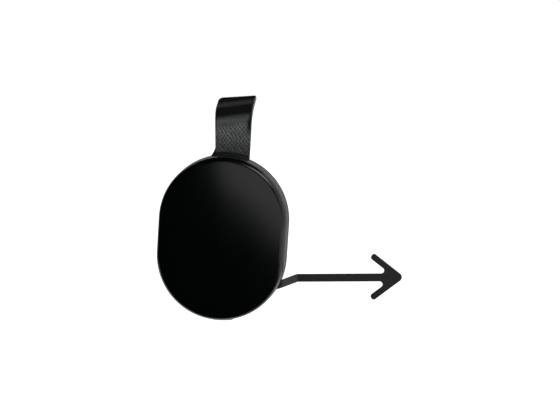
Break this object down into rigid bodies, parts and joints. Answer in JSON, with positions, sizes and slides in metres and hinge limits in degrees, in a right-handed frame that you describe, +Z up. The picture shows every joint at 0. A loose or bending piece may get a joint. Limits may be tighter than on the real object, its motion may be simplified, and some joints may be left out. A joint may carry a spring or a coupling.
{
  "type": "tow hook cover",
  "caption": "Oval black plastic cover that closes the towing eye opening of a car bumper, with a crowned face, a bent spring tongue on top and a barbed tether strap at the side.",
  "frame": {"origin": "middle of the oval, in the plane of the skirt's rear rim", "axes": "+X to the right as the fitted cover is looked at, the way the strap runs; +Y into the car; +Z up, the way the tongue points"},
  "size_m": [0.1097, 0.0233, 0.1014],
  "materials": {
    "black_plastic": "unpainted black moulding, satin smooth on the face and finely grained on the tongue and strap"
  },
  "bodies": {
    "root": {"tow_hook_cover": "black_plastic"}
  },
  "joints": []
}
